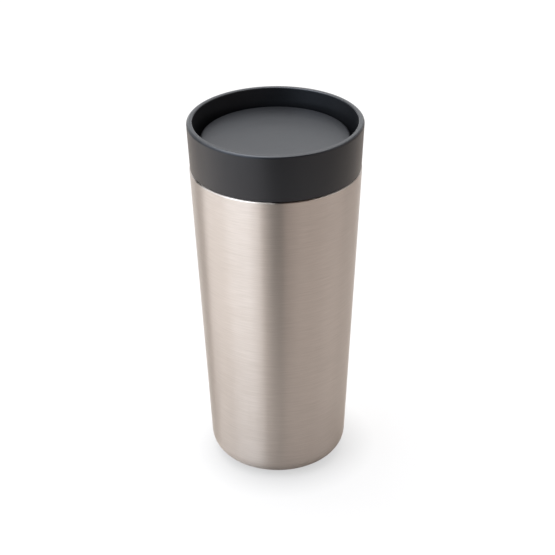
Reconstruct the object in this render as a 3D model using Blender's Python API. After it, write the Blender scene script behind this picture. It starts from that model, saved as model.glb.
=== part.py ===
"""Insulated travel mug with a screw-in lid that opens all the way round at the push of its disc.

Units are metres, +Z is up, and the origin is the middle of the face that the mug stands on.
Everything is turned about Z, so every joint's axis is the Z axis:
  cup     the double-walled steel cup, which stands still
  seal    the neck seal, which rises with the lid and doesn't turn with it
  lid     the collar, the threaded core and what is fixed in them
  button  the press disc, its plunger and stem, and the valve that they open
  rotor   the ring that indexes the click mechanism
"""

import math

import bmesh
import bpy
from mathutils import Matrix, Vector

# The whole mug
HEIGHT = 0.1764
BASE_RADIUS = 0.0325  # the body's straight cone, carried on to the floor
TOP_RADIUS = 0.04092  # the same cone, carried on to the rim
TAPER = (TOP_RADIUS - BASE_RADIUS) / HEIGHT
GAP = 0.0003  # between neighbours that touch on the real mug

# Cup
SPLIT_Z = 0.1538  # top of the steel, where the collar starts
SHELL_WALL = 0.0006
LINER_WALL = 0.0005
SHELL_CORNER = 0.0100
SHELL_FOOT_Z = 0.0005  # the steel stands clear of the floor on its pad
FOOT_RADIUS = 0.0215  # inside of the upturned edge round the bottom opening
FOOT_EDGE_Z = 0.0038
PLATE_Z = 0.0026
PAD_THICKNESS = PLATE_Z - GAP
FOIL = 0.0002
PORT_RADIUS = 0.0010
PORT_DIMPLE = 0.0012  # how far the plate is pressed in round the port
LINER_FLOOR_Z = 0.0070
LINER_BASE_RADIUS = 0.0286
LINER_CORNER = 0.0110
SHOULDER_Z = 0.1375
SHOULDER_RADIUS = 0.0347
BORE_RADIUS = 0.0376  # the threaded mouth of the cup

# Thread: three starts, interrupted, right-handed
LEAD = 0.0120
STARTS = 3
RIDGE_ARC = math.radians(100)
RIDGE_ROOT_HALF = 0.00100
RIDGE_CREST_HALF = 0.00065
RIDGE_SUNK = 0.00025  # how far the ridge's root lies inside its wall
CUP_RIDGE_Z = 0.1475
CUP_CREST_RADIUS = 0.0365
LID_CREST_RADIUS = 0.03725
SKIRT_RADIUS = 0.0361

# Lid
COLLAR_INSET = 0.0003  # the collar stands this far inside the steel's line
COLLAR_WALL = 0.00275
COLLAR_BORE = 0.03735
SNAP_Z = 0.1560
SNAP_DEPTH = 0.00045
SNAP_HALF = 0.0007  # half the height of the snap bead and of its groove, where they start
SNAP_CREST_HALF = 0.0002
CORE_TOP_Z = 0.1576
SKIRT_WALL = 0.0015
SKIRT_END_Z = 0.1419
SPIGOT_RADIUS = 0.0336  # holds the neck seal
SPIGOT_END_Z = 0.1385
SPIGOT_WALL = 0.0012
SPIGOT_LIP = 0.0004
WELL_EDGE_Z = 0.1448  # the drinking well falls from here to the seat
SEAT_RADIUS = 0.0262
SEAT_HALF = 0.0006
SEAT_Z = 0.1382
TUBE_RADIUS = 0.0096
TUBE_BORE = 0.0081
TUBE_TOP_Z = 0.1580
TUBE_FLOOR_Z = 0.1380
TUBE_FLOOR = 0.0016
SPOKES = 4
SPOKE_WIDTH = 0.0022
HOOP_RADIUS = SEAT_RADIUS - 0.0009
HOOP_WALL = 0.0010
HOOP_LOW_Z = 0.1392
HOOP_HIGH_Z = 0.1412
SPOKE_HIGH_Z = 0.1440
GROMMET_NECK = 0.0035
GROMMET_FLANGE = 0.0050
GROMMET_LIP = 0.0008

# Button and click mechanism
DISC_RADIUS = 0.0345
DISC_Z = 0.1684
DISC_UNDERSIDE_Z = 0.1658
DISC_DISHED = 0.0005
DISC_SKIRT_WALL = 0.0013
DISC_SKIRT_Z = 0.1637
HOOD_RADIUS = 0.0116
HOOD_BORE = 0.0102
HOOD_Z = 0.1597
STEM_RADIUS = 0.0022
STEM_END_Z = 0.1290
STEM_TOP_Z = 0.1638
STEM_CLEARANCE = 0.0003
KEY_RADIUS = 0.0060
SHAFT_RADIUS = 0.0049
SLEEVE_BORE = 0.0064
RIB_RADIUS = 0.0053
SLOTS = 4
KEY_HALF_ANGLE = math.radians(8)
TOOTH_HEIGHT = 0.0012
TEETH = 8
ROTOR_TIPS_Z = 0.1536
PLUNGER_FLANGE = 0.0092
SPRING_RADIUS = 0.0067
WIRE_RADIUS = 0.0004
SPRING_TURNS = 4.5
SPRING_SEAT_Z = 0.1483  # underside of the washer, with the valve shut
WASHER = 0.0010
WASHER_RADIUS = 0.0076
PLATE_BOSS_Z = 0.1318  # underside of the valve plate's boss
PLATE_RADIUS = 0.0276
PLATE_EDGE_LOW_Z = 0.1352
PLATE_EDGE_HIGH_Z = 0.1366
NUT_RADIUS = 0.0062
NUT_LOW_Z = 0.1275
NUT_HIGH_Z = 0.1315
NUT_FLUTES = 8
NUT_FLUTE = 0.0004

# How finely round things are cut
LARGE_STEPS = 48
MEDIUM_STEPS = 36
SMALL_STEPS = 24
TINY_STEPS = 16
TOOTHED_STEPS = 80  # ten to a tooth, and whole steps to a key
NUT_STEPS = 64
RIDGE_STEPS = 14
ARC_TURN = math.radians(23)
SHARP_ANGLE = math.radians(35)


def cone_radius(z):
    """Radius of the mug's outer cone at a height."""
    return BASE_RADIUS + TAPER * z


# ---------------------------------------------------------------- materials


def make_material(name, colour, roughness, metallic):
    material = bpy.data.materials.new(name)
    material.use_nodes = True
    material.diffuse_color = (*colour, 1.0)
    shader = material.node_tree.nodes["Principled BSDF"]
    shader.inputs["Base Color"].default_value = (*colour, 1.0)
    shader.inputs["Roughness"].default_value = roughness
    shader.inputs["Metallic"].default_value = metallic
    return material


def make_materials():
    return {
        "brushed_steel": make_material("brushed_steel", (0.56, 0.51, 0.47), 0.32, 1.0),
        "bright_steel": make_material("bright_steel", (0.60, 0.58, 0.56), 0.20, 1.0),
        "grey_plastic": make_material("grey_plastic", (0.050, 0.053, 0.058), 0.45, 0.0),
        "black_plastic": make_material("black_plastic", (0.020, 0.021, 0.023), 0.50, 0.0),
        "white_acetal": make_material("white_acetal", (0.80, 0.79, 0.76), 0.40, 0.0),
        "silicone": make_material("silicone", (0.16, 0.165, 0.17), 0.65, 0.0),
        "getter_alloy": make_material("getter_alloy", (0.20, 0.19, 0.18), 0.70, 1.0),
        "copper_foil": make_material("copper_foil", (0.75, 0.42, 0.30), 0.25, 1.0),
        "solder_glass": make_material("solder_glass", (0.10, 0.13, 0.12), 0.15, 0.0),
    }


# ---------------------------------------------------------------- shape tools


def rounded(corners):
    """An outline whose (radius, height, fillet) corners are arcs; a corner with no fillet stays sharp."""
    outline = []
    for index, corner in enumerate(corners):
        here = Vector(corner[:2])
        if len(corner) == 2:
            outline.append(tuple(here))
            continue
        fillet = corner[2]
        before = (Vector(corners[index - 1][:2]) - here).normalized()
        after = (Vector(corners[(index + 1) % len(corners)][:2]) - here).normalized()
        half = before.angle(after) / 2
        centre = here + (before + after).normalized() * (fillet / math.sin(half))
        spoke = here + before * (fillet / math.tan(half)) - centre
        turn = math.pi - 2 * half
        if before.x * after.y > before.y * after.x:
            turn = -turn
        steps = max(2, math.ceil(abs(turn) / ARC_TURN))
        for step in range(steps + 1):
            outline.append(tuple(centre + Matrix.Rotation(turn * step / steps, 2) @ spoke))
    return outline


def finish_mesh(bm, name):
    """Closes a bmesh off as a mesh with faces pointing out and smooth shading between gentle angles."""
    bmesh.ops.recalc_face_normals(bm, faces=bm.faces)
    mesh = bpy.data.meshes.new(name)
    bm.to_mesh(mesh)
    bm.free()
    mesh.shade_smooth()
    mesh.set_sharp_from_angle(angle=SHARP_ANGLE)
    return mesh


def add_object(name, mesh, material):
    mesh.materials.append(material)
    obj = bpy.data.objects.new(name, mesh)
    bpy.context.scene.collection.objects.link(obj)
    return obj


def turned(name, outline, steps, material):
    """A solid turned about Z. An outline that starts and ends on the axis is left open there."""
    bm = bmesh.new()
    points = [bm.verts.new((radius, 0.0, z)) for radius, z in outline]
    edges = [bm.edges.new(pair) for pair in zip(points, points[1:])]
    if outline[0][0] > 0.0:
        edges.append(bm.edges.new((points[-1], points[0])))
    bmesh.ops.spin(
        bm,
        geom=points + edges,
        cent=(0, 0, 0),
        axis=(0, 0, 1),
        angle=math.tau,
        steps=steps,
        use_merge=True,
    )
    bmesh.ops.remove_doubles(bm, verts=bm.verts, dist=1e-6)
    return add_object(name, finish_mesh(bm, name), material)


def ring_by_angle(name, steps, sides, material):
    """A ring whose inner radius, outer radius, lower and upper height each follow the angle."""
    bm = bmesh.new()
    loops = []
    for step in range(steps):
        angle = math.tau * step / steps
        inner, outer, low, high = sides(angle)
        loops.append(
            [
                bm.verts.new((radius * math.cos(angle), radius * math.sin(angle), z))
                for radius, z in ((inner, low), (outer, low), (outer, high), (inner, high))
            ]
        )
    for here, following in zip(loops, loops[1:] + loops[:1]):
        for side in range(4):
            bm.faces.new((here[side], here[side - 1], following[side - 1], following[side]))
    return add_object(name, finish_mesh(bm, name), material)


def join(obj, helper):
    """Adds a helper object, which is hidden and isn't a part, to obj by a Boolean."""
    helper.hide_render = True
    helper.display_type = "WIRE"
    modifier = obj.modifiers.new(helper.name, "BOOLEAN")
    modifier.operation = "UNION"
    modifier.solver = "EXACT"
    modifier.object = helper


def thread_ridge(name, start, wall_radius, crest_radius, middle_z, material):
    """One start of the thread: a trapezoid swept up a helix, sunk into its wall and faded out at its ends."""
    sunk = math.copysign(RIDGE_SUNK, crest_radius - wall_radius)
    bm = bmesh.new()
    sections = []
    for step in range(RIDGE_STEPS + 1):
        turn = RIDGE_ARC * step / RIDGE_STEPS
        angle = start + turn
        z = middle_z + LEAD * turn / math.tau
        crest = wall_radius - sunk / 2 if step in (0, RIDGE_STEPS) else crest_radius
        corners = (
            (wall_radius - sunk, z - RIDGE_ROOT_HALF),
            (crest, z - RIDGE_CREST_HALF),
            (crest, z + RIDGE_CREST_HALF),
            (wall_radius - sunk, z + RIDGE_ROOT_HALF),
        )
        sections.append(
            [bm.verts.new((r * math.cos(angle), r * math.sin(angle), h)) for r, h in corners]
        )
    for here, following in zip(sections, sections[1:]):
        for side in range(4):
            bm.faces.new((here[side - 1], here[side], following[side], following[side - 1]))
    bm.faces.new(sections[0])
    bm.faces.new(reversed(sections[-1]))
    return add_object(name, finish_mesh(bm, name), material)


def add_thread(obj, wall_radius, crest_radius, middle_z, material):
    for start in range(STARTS):
        angle = math.tau * start / STARTS
        name = f"{obj.name}_ridge_{start + 1}"
        ridge = thread_ridge(name, angle, wall_radius, crest_radius, middle_z, material)
        join(obj, ridge)


# ---------------------------------------------------------------- cup


def outer_shell(material):
    """The brushed outer wall, turned in at the lip and turned up round the opening in its bottom."""
    lip_radius = cone_radius(SPLIT_Z)
    inner_foot_z = SHELL_FOOT_Z + SHELL_WALL
    outline = rounded(
        [
            (FOOT_RADIUS, FOOT_EDGE_Z),
            (FOOT_RADIUS, SHELL_FOOT_Z, 0.0010),
            (cone_radius(SHELL_FOOT_Z), SHELL_FOOT_Z, SHELL_CORNER),
            (lip_radius, SPLIT_Z, 0.0007),
            (BORE_RADIUS, SPLIT_Z),
            (BORE_RADIUS, SPLIT_Z - SHELL_WALL),
            (lip_radius - SHELL_WALL, SPLIT_Z - SHELL_WALL),
            (cone_radius(inner_foot_z) - SHELL_WALL, inner_foot_z, SHELL_CORNER - SHELL_WALL),
            (FOOT_RADIUS + SHELL_WALL, inner_foot_z),
            (FOOT_RADIUS + SHELL_WALL, FOOT_EDGE_Z),
        ]
    )
    return turned("outer_shell", outline, LARGE_STEPS, material)


def inner_liner(material):
    """The inner wall: floor, tapered side, a shoulder for the neck seal and the threaded mouth."""
    rise = BORE_RADIUS - SHOULDER_RADIUS
    top_z = SPLIT_Z - SHELL_WALL - GAP
    wall = LINER_WALL
    inside = rounded(
        [
            (0.0, LINER_FLOOR_Z),
            (LINER_BASE_RADIUS, LINER_FLOOR_Z, LINER_CORNER),
            (SHOULDER_RADIUS, SHOULDER_Z),
            (BORE_RADIUS, SHOULDER_Z + rise),
            (BORE_RADIUS, top_z),
            (BORE_RADIUS + wall, top_z),
            (BORE_RADIUS + wall, SHOULDER_Z + rise - wall * math.tan(math.pi / 8)),
            (SHOULDER_RADIUS + wall, SHOULDER_Z - wall * math.tan(math.pi / 8)),
            (LINER_BASE_RADIUS + wall, LINER_FLOOR_Z - wall, LINER_CORNER + wall),
            (0.0, LINER_FLOOR_Z - wall),
        ]
    )
    liner = turned("inner_liner", inside, LARGE_STEPS, material)
    add_thread(liner, BORE_RADIUS, CUP_CREST_RADIUS, CUP_RIDGE_Z, material)
    return liner


def bottom_plate(material):
    """The pressed disc that closes the shell, dimpled round the port that the air is pumped out of."""
    radius = FOOT_RADIUS - GAP
    top_z = PLATE_Z + SHELL_WALL
    dimple_foot, dimple_top = 0.0050, 0.0038
    outline = [
        (PORT_RADIUS, PLATE_Z + PORT_DIMPLE),
        (dimple_top, PLATE_Z + PORT_DIMPLE),
        (dimple_foot, PLATE_Z),
        (radius, PLATE_Z),
        (radius, top_z),
        (dimple_foot, top_z),
        (dimple_top, top_z + PORT_DIMPLE),
        (PORT_RADIUS, top_z + PORT_DIMPLE),
    ]
    return turned("bottom_plate", outline, MEDIUM_STEPS, material)


def port_seal(material):
    """The bead of solder glass that plugs the port from below."""
    shelf_z = PLATE_Z + PORT_DIMPLE - GAP
    bead_radius, plug = 0.0025, 0.0008
    outline = [
        (0.0, shelf_z - 0.0010),
        (0.0016, shelf_z - 0.0009),
        (bead_radius, shelf_z - 0.0003),
        (bead_radius, shelf_z),
        (PORT_RADIUS - GAP, shelf_z),
        (PORT_RADIUS - GAP, shelf_z + plug),
        (0.0, shelf_z + plug),
    ]
    return turned("port_seal", outline, TINY_STEPS, material)


def foil_wrap(material):
    """The foil round the liner, in the vacuum, that throws back radiated heat."""
    slope = (SHOULDER_RADIUS - LINER_BASE_RADIUS) / (SHOULDER_Z - LINER_FLOOR_Z)
    away = LINER_BASE_RADIUS + LINER_WALL + 2 * GAP
    low, high = 0.0220, 0.1340
    inner_low = away + slope * (low - LINER_FLOOR_Z)
    inner_high = away + slope * (high - LINER_FLOOR_Z)
    outline = [
        (inner_low, low),
        (inner_low + FOIL, low),
        (inner_high + FOIL, high),
        (inner_high, high),
    ]
    return turned("foil_wrap", outline, LARGE_STEPS, material)


def getter(material):
    """The pellet under the liner that takes up the last gas in the vacuum."""
    radius, thickness = 0.0040, 0.0014
    top_z = LINER_FLOOR_Z - LINER_WALL - GAP
    low_z = top_z - thickness
    outline = rounded([(0.0, low_z), (radius, low_z, 0.0003), (radius, top_z), (0.0, top_z)])
    return turned("getter", outline, SMALL_STEPS, material)


def foot_pad(material):
    """The silicone pad that the mug stands on."""
    radius = FOOT_RADIUS - 2 * GAP
    outline = rounded(
        [
            (0.0, 0.0),
            (radius, 0.0, 0.0004),
            (radius, PAD_THICKNESS, 0.0003),
            (0.0, PAD_THICKNESS),
        ]
    )
    return turned("foot_pad", outline, MEDIUM_STEPS, material)


# ---------------------------------------------------------------- lid


def neck_seal(material):
    """The ring under the skirt that meets the liner's shoulder."""
    bore = SPIGOT_RADIUS + GAP
    widest = 0.0362  # clears the crests of the cup's thread
    low = SPIGOT_END_Z + 0.0008
    high = SKIRT_END_Z - GAP
    outline = [
        (bore, low),
        (bore + 0.0010, low - 0.0007),
        (bore + 0.0016, low - 0.0006),
        (widest, low + 0.0001),
        (widest, low + 0.0008),
        (widest - 0.0006, high),
        (bore, high),
    ]
    return turned("neck_seal", outline, LARGE_STEPS, material)


def collar(material):
    """The drinking rim and outer wall of the lid, which sits on the steel lip."""
    low = SPLIT_Z + GAP
    outer_low = cone_radius(low) - COLLAR_INSET
    outer_top = cone_radius(HEIGHT) - COLLAR_INSET
    groove = COLLAR_BORE + SNAP_DEPTH
    groove_half = SNAP_CREST_HALF + 0.0001
    outline = rounded(
        [
            (COLLAR_BORE, low),
            (outer_low, low, 0.0003),
            (outer_top, HEIGHT, 0.0012),
            (outer_top - COLLAR_WALL, HEIGHT, 0.0006),
            (COLLAR_BORE, CORE_TOP_Z + 2 * GAP),
            (COLLAR_BORE, SNAP_Z + SNAP_HALF),
            (groove, SNAP_Z + groove_half),
            (groove, SNAP_Z - groove_half),
            (COLLAR_BORE, SNAP_Z - SNAP_HALF),
        ]
    )
    return turned("collar", outline, LARGE_STEPS, material)


def lid_core(material):
    """The core: flange and snap bead, threaded skirt, floor, seal spigot and valve seat."""
    flange = COLLAR_BORE - GAP
    bead = flange + SNAP_DEPTH
    inner = SKIRT_RADIUS - SKIRT_WALL
    lip = SPIGOT_RADIUS + SPIGOT_LIP
    spigot_bore = SPIGOT_RADIUS - SPIGOT_WALL
    seat_in = SEAT_RADIUS - SEAT_HALF
    seat_out = SEAT_RADIUS + SEAT_HALF
    outline = [
        (flange, CORE_TOP_Z),
        (flange, SNAP_Z + SNAP_HALF),
        (bead, SNAP_Z + SNAP_CREST_HALF),
        (bead, SNAP_Z - SNAP_CREST_HALF),
        (flange, SNAP_Z - SNAP_HALF),
        (flange, SPLIT_Z + GAP),
        (SKIRT_RADIUS, SPLIT_Z - 0.0004),
        (SKIRT_RADIUS, SKIRT_END_Z),
        (SPIGOT_RADIUS, SKIRT_END_Z),
        (SPIGOT_RADIUS, SPIGOT_END_Z + 0.0006),
        (lip, SPIGOT_END_Z + 0.0004),
        (lip, SPIGOT_END_Z),
        (spigot_bore, SPIGOT_END_Z),
        (spigot_bore, WELL_EDGE_Z - 0.0034),
        (seat_out + 0.0004, SEAT_Z + 0.0014),
        (seat_out, SEAT_Z),
        (seat_in, SEAT_Z),
        (seat_in, WELL_EDGE_Z - 0.0039),
        (0.0330, WELL_EDGE_Z - 0.0017),
        (inner, WELL_EDGE_Z),
        (inner, CORE_TOP_Z - 0.0048),
        (inner + 0.0016, CORE_TOP_Z),
    ]
    core = turned("lid_core", outline, LARGE_STEPS, material)
    add_thread(core, SKIRT_RADIUS, LID_CREST_RADIUS, CUP_RIDGE_Z - LEAD / STARTS / 2, material)
    return core


def cage_tube(material):
    """The tube that holds the click mechanism."""
    bottom_z = TUBE_FLOOR_Z - TUBE_FLOOR
    hole = GROMMET_NECK + GAP
    outline = [
        (hole, bottom_z),
        (TUBE_RADIUS, bottom_z),
        (TUBE_RADIUS, TUBE_TOP_Z),
        (TUBE_BORE, TUBE_TOP_Z),
        (TUBE_BORE, TUBE_FLOOR_Z),
        (hole, TUBE_FLOOR_Z),
    ]
    return turned("valve_cage", outline, SMALL_STEPS, material)


def cage_hoop(material):
    """The hoop that is pressed into the core, just above the valve seat."""
    inner = HOOP_RADIUS - HOOP_WALL
    outline = [
        (inner, HOOP_LOW_Z),
        (HOOP_RADIUS, HOOP_LOW_Z),
        (HOOP_RADIUS, HOOP_HIGH_Z),
        (inner, HOOP_HIGH_Z),
    ]
    return turned("cage_hoop", outline, LARGE_STEPS, material)


def cage_spoke(name, angle, material):
    """One bar between the tube and the hoop."""
    start = (TUBE_RADIUS + TUBE_BORE) / 2
    end = HOOP_RADIUS - HOOP_WALL / 2
    low, high = HOOP_LOW_Z + 0.0002, SPOKE_HIGH_Z
    bm = bmesh.new()
    size = Matrix.Diagonal((end - start, SPOKE_WIDTH, high - low, 1.0))
    place = Matrix.Translation(((start + end) / 2, 0.0, (low + high) / 2))
    turn = Matrix.Rotation(angle, 4, "Z")
    bmesh.ops.create_cube(bm, size=1.0, matrix=turn @ place @ size)
    return add_object(name, finish_mesh(bm, name), material)


def valve_cage(material):
    """The cage in the middle of the core: a tube held by spokes in a hoop."""
    cage = cage_tube(material)
    join(cage, cage_hoop(material))
    for number in range(SPOKES):
        angle = math.tau * (number + 0.5) / SPOKES
        join(cage, cage_spoke(f"cage_spoke_{number + 1}", angle, material))
    return cage


def stem_seal(material):
    """The grommet in the tube's floor that wipes the stem."""
    bore = STEM_RADIUS + STEM_CLEARANCE
    low = TUBE_FLOOR_Z - TUBE_FLOOR - GAP
    high = TUBE_FLOOR_Z + GAP
    outline = [
        (bore, low - GROMMET_LIP),
        (GROMMET_FLANGE, low - GROMMET_LIP),
        (GROMMET_FLANGE, low),
        (GROMMET_NECK, low),
        (GROMMET_NECK, high),
        (GROMMET_FLANGE, high),
        (GROMMET_FLANGE, high + GROMMET_LIP),
        (bore, high + GROMMET_LIP),
    ]
    return turned("stem_seal", outline, SMALL_STEPS, material)


def near_slot(angle, offset=0.0):
    """True within a key's half width of one of the evenly spaced slots."""
    pitch = math.tau / SLOTS
    away = (angle - offset + pitch / 2) % pitch - pitch / 2
    return abs(away) <= KEY_HALF_ANGLE


def guide_sleeve(material):
    """The fixed sleeve pressed into the tube, with ribs that keep the plunger and rotor in their slots."""
    low, high = SPRING_SEAT_Z + 0.0016, TUBE_TOP_Z - 0.0002

    def sides(angle):
        bore = RIB_RADIUS if near_slot(angle, math.pi / SLOTS) else SLEEVE_BORE
        return bore, TUBE_BORE - GAP, low, high

    return ring_by_angle("guide_sleeve", TOOTHED_STEPS, sides, material)


def return_spring(material):
    """The compression spring between the tube's floor and the washer."""
    curve = bpy.data.curves.new("return_spring", "CURVE")
    curve.dimensions = "3D"
    curve.bevel_depth = WIRE_RADIUS
    curve.bevel_resolution = 1
    curve.use_fill_caps = True
    per_turn = 16
    count = round(per_turn * SPRING_TURNS) + 1
    low = TUBE_FLOOR_Z + GAP + WIRE_RADIUS
    high = SPRING_SEAT_Z - GAP - WIRE_RADIUS
    spline = curve.splines.new("POLY")
    spline.points.add(count - 1)
    for index, point in enumerate(spline.points):
        share = index / (count - 1)
        angle = math.tau * SPRING_TURNS * share
        x, y = SPRING_RADIUS * math.cos(angle), SPRING_RADIUS * math.sin(angle)
        point.co = (x, y, low + (high - low) * share, 1.0)
    curve.materials.append(material)
    spring = bpy.data.objects.new("return_spring", curve)
    bpy.context.scene.collection.objects.link(spring)
    return spring


# ---------------------------------------------------------------- button


def press_disc(material):
    """The round button in the lid, slightly dished, with a skirt and a hood that covers the tube."""
    skirt = DISC_RADIUS - 0.0003
    skirt_bore = skirt - DISC_SKIRT_WALL
    outline = rounded(
        [
            (0.0, DISC_Z - DISC_DISHED),
            (0.0180, DISC_Z - DISC_DISHED + 0.0001),
            (0.0300, DISC_Z),
            (DISC_RADIUS, DISC_Z, 0.0011),
            (skirt, DISC_SKIRT_Z),
            (skirt_bore, DISC_SKIRT_Z),
            (skirt_bore, DISC_UNDERSIDE_Z),
            (HOOD_RADIUS, DISC_UNDERSIDE_Z),
            (HOOD_RADIUS - 0.0001, HOOD_Z),
            (HOOD_BORE, HOOD_Z),
            (HOOD_BORE, DISC_UNDERSIDE_Z),
            (0.0, DISC_UNDERSIDE_Z),
        ]
    )
    return turned("press_disc", outline, LARGE_STEPS, material)


def crown(angle, teeth):
    """Share of a tooth's height at an angle, rising steadily and dropping at once, as on a ratchet."""
    return (angle / math.tau * teeth) % 1.0


def plunger(material):
    """The keyed shaft under the disc, with ratchet teeth at its lower end."""
    bore = STEM_RADIUS + STEM_CLEARANCE
    hole = bore - 0.0008  # the flange grips the stem's turned-down end
    tips_z = ROTOR_TIPS_Z + GAP
    flange_low, flange_high = 0.1641, DISC_UNDERSIDE_Z - GAP

    def sides(angle):
        outer = KEY_RADIUS if near_slot(angle) else SHAFT_RADIUS
        low = tips_z + TOOTH_HEIGHT * crown(angle, TEETH)
        return bore, outer, low, flange_low + 0.0004

    shaft = ring_by_angle("plunger", TOOTHED_STEPS, sides, material)
    flange = turned(
        "plunger_flange",
        [
            (hole, flange_low),
            (PLUNGER_FLANGE, flange_low),
            (PLUNGER_FLANGE, flange_high),
            (hole, flange_high),
        ],
        SMALL_STEPS,
        material,
    )
    join(shaft, flange)
    return shaft


def stem(material):
    """The rod from the plunger through the tube's floor to the valve."""
    outline = [
        (0.0, STEM_END_Z),
        (STEM_RADIUS, STEM_END_Z),
        (STEM_RADIUS, STEM_TOP_Z),
        (0.0, STEM_TOP_Z),
    ]
    return turned("stem", outline, SMALL_STEPS, material)


def spring_washer(material):
    """The washer that the spring lifts the rotor by."""
    bore = STEM_RADIUS + STEM_CLEARANCE
    outline = [
        (bore, SPRING_SEAT_Z),
        (WASHER_RADIUS, SPRING_SEAT_Z),
        (WASHER_RADIUS, SPRING_SEAT_Z + WASHER),
        (bore, SPRING_SEAT_Z + WASHER),
    ]
    return turned("spring_washer", outline, SMALL_STEPS, material)


def valve_plate(material):
    """The dished plate that carries the valve gasket."""
    bore = STEM_RADIUS + STEM_CLEARANCE
    boss_top_z = PLATE_BOSS_Z + 0.0030
    outline = [
        (bore, PLATE_BOSS_Z),
        (NUT_RADIUS, PLATE_BOSS_Z),
        (0.0075, PLATE_BOSS_Z + 0.0014),
        (0.0220, PLATE_EDGE_LOW_Z - 0.0012),
        (0.0245, PLATE_EDGE_LOW_Z),
        (PLATE_RADIUS, PLATE_EDGE_LOW_Z),
        (PLATE_RADIUS, PLATE_EDGE_HIGH_Z),
        (0.0236, PLATE_EDGE_HIGH_Z),
        (0.0215, PLATE_EDGE_HIGH_Z - 0.0012),
        (0.0075, boss_top_z),
        (bore, boss_top_z),
    ]
    return turned("valve_plate", outline, MEDIUM_STEPS, material)


def valve_gasket(material):
    """The channel of silicone round the plate's edge that shuts against the seat."""
    groove = PLATE_RADIUS + GAP
    outside = groove + 0.0009
    inside = 0.0244
    low = PLATE_EDGE_LOW_Z - 0.0011
    outline = [
        (inside, SEAT_Z - GAP),
        (inside, PLATE_EDGE_HIGH_Z + GAP),
        (groove, PLATE_EDGE_HIGH_Z + GAP),
        (groove, PLATE_EDGE_LOW_Z - GAP),
        (0.0262, PLATE_EDGE_LOW_Z - GAP),
        (0.0262, low),
        (outside, low),
        (outside, SEAT_Z - 2 * GAP),
        (outside - 0.0004, SEAT_Z - GAP),
    ]
    return turned("valve_gasket", outline, MEDIUM_STEPS, material)


def valve_nut(material):
    """The fluted nut under the valve, which comes off by hand so that the lid can be cleaned."""
    bore = STEM_RADIUS + STEM_CLEARANCE
    end_radius, end_low, end_high = 0.0040, NUT_LOW_Z + 0.0002, STEM_END_Z - GAP

    def sides(angle):
        return bore, NUT_RADIUS + NUT_FLUTE * math.cos(NUT_FLUTES * angle), NUT_LOW_Z, NUT_HIGH_Z

    nut = ring_by_angle("valve_nut", NUT_STEPS, sides, material)
    end = [(0.0, end_low), (end_radius, end_low), (end_radius, end_high), (0.0, end_high)]
    join(nut, turned("valve_nut_end", end, SMALL_STEPS, material))
    return nut


def click_rotor(material):
    """The indexing ring between the washer and the plunger, with ratchet teeth on top."""
    bore = STEM_RADIUS + STEM_CLEARANCE
    low = SPRING_SEAT_Z + WASHER + GAP

    def sides(angle):
        outer = KEY_RADIUS if near_slot(angle) else SHAFT_RADIUS
        return bore, outer, low, ROTOR_TIPS_Z - TOOTH_HEIGHT * crown(angle, TEETH)

    return ring_by_angle("click_rotor", TOOTHED_STEPS, sides, material)


# ---------------------------------------------------------------- assembly


def make_body(name, parent, pieces):
    """An empty on the Z axis that a body's pieces, which are drawn in the mug's frame, are parented to."""
    empty = bpy.data.objects.new(f"{name}_axis", None)
    bpy.context.scene.collection.objects.link(empty)
    empty.parent = parent
    for piece in pieces:
        piece.parent = empty
    return empty


def main():
    for obj in list(bpy.data.objects):
        bpy.data.objects.remove(obj)
    look = make_materials()
    steel, plastic = look["bright_steel"], look["grey_plastic"]
    black, acetal, silicone = look["black_plastic"], look["white_acetal"], look["silicone"]
    cup = make_body(
        "cup",
        None,
        [
            outer_shell(look["brushed_steel"]),
            inner_liner(steel),
            bottom_plate(steel),
            port_seal(look["solder_glass"]),
            getter(look["getter_alloy"]),
            foil_wrap(look["copper_foil"]),
            foot_pad(silicone),
        ],
    )
    seal = make_body("seal", cup, [neck_seal(silicone)])
    lid = make_body(
        "lid",
        seal,
        [
            collar(plastic),
            lid_core(black),
            valve_cage(black),
            guide_sleeve(acetal),
            stem_seal(silicone),
            return_spring(steel),
        ],
    )
    button = make_body(
        "button",
        lid,
        [
            press_disc(plastic),
            plunger(acetal),
            stem(steel),
            spring_washer(steel),
            valve_plate(black),
            valve_gasket(silicone),
            valve_nut(black),
        ],
    )
    make_body("rotor", button, [click_rotor(acetal)])


main()
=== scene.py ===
"""Looks, lights and camera for the insulated travel mug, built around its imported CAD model.

Every visible round piece is turned again here, finely, from the outline that the CAD piece has.
Units are metres, +Z is up, and the camera looks from -Y.
"""

import math

import bmesh
import bpy
from mathutils import Matrix, Vector

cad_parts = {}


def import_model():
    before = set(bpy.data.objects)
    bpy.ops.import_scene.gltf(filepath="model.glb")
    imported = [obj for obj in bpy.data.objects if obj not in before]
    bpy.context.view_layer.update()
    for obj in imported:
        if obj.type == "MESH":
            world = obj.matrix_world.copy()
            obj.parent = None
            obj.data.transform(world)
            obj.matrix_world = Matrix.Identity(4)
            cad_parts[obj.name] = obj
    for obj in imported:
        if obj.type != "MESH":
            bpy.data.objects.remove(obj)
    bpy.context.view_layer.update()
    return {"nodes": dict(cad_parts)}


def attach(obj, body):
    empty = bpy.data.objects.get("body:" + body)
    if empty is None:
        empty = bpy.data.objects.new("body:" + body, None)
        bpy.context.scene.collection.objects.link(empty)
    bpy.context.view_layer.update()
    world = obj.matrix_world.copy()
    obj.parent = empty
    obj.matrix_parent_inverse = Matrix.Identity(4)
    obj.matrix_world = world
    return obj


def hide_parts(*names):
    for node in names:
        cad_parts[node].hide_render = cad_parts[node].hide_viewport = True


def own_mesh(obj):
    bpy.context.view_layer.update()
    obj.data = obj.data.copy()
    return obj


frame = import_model()

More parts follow.
